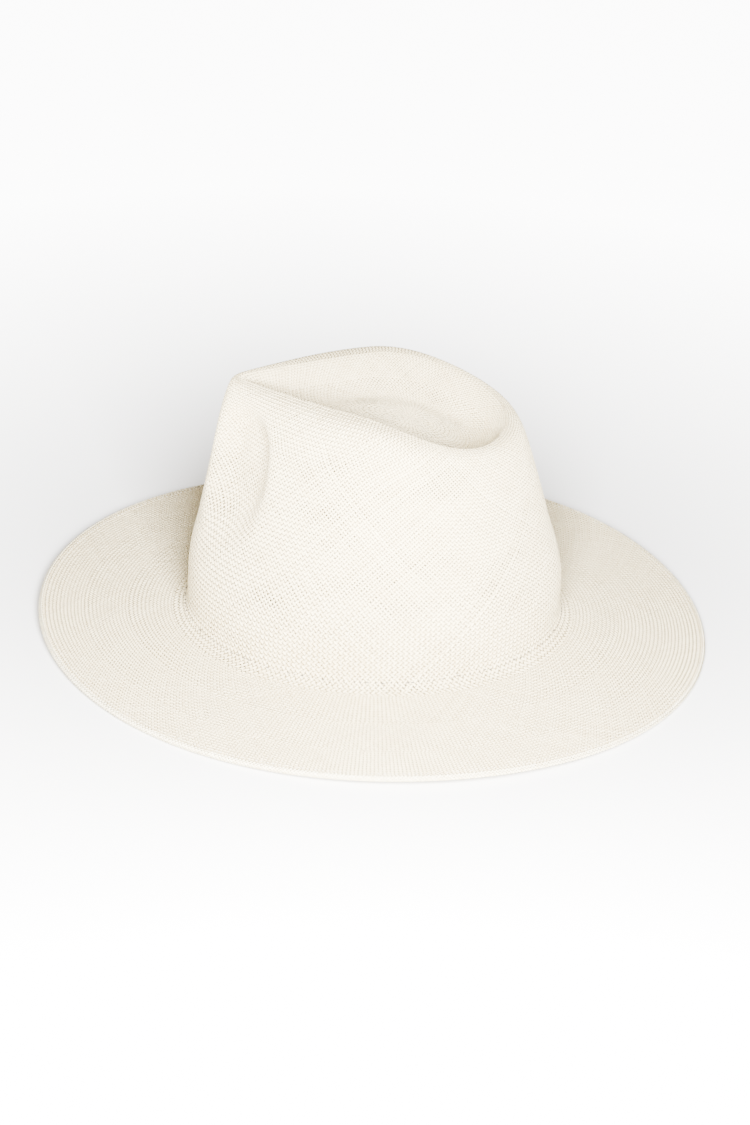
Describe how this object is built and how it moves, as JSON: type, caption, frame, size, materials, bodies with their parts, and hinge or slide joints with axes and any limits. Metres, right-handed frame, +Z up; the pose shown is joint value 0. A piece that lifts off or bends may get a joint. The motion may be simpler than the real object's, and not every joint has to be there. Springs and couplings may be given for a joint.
{
  "type": "panama hat",
  "caption": "Woven straw sun hat with a pinched teardrop crown, a wide brim with a turned, stitched hem, and a sewn-in sweatband.",
  "frame": {"origin": "on the surface the hat stands on, under the middle of its outline", "axes": "+Z up through the crown, -Y the wearer's forward, +X the wearer's left"},
  "size_m": [0.3284, 0.3614, 0.1421],
  "materials": {
    "straw": "matte woven straw",
    "hem_straw": "matte woven straw",
    "hem_thread": "matte thread",
    "band_leather": "smooth satin",
    "reed_binding": "matte",
    "band_thread": "matte thread",
    "seam_thread": "matte thread",
    "bow_ribbon": "ribbed ribbon"
  },
  "bodies": {
    "root": {"straw_body": "straw", "brim_hem": "hem_straw", "hem_stitches": "hem_thread", "sweatband": "band_leather", "sweatband_reed": "reed_binding", "sweatband_stitches": "band_thread", "sweatband_seam": "seam_thread", "rear_bow": "bow_ribbon"}
  },
  "joints": []
}
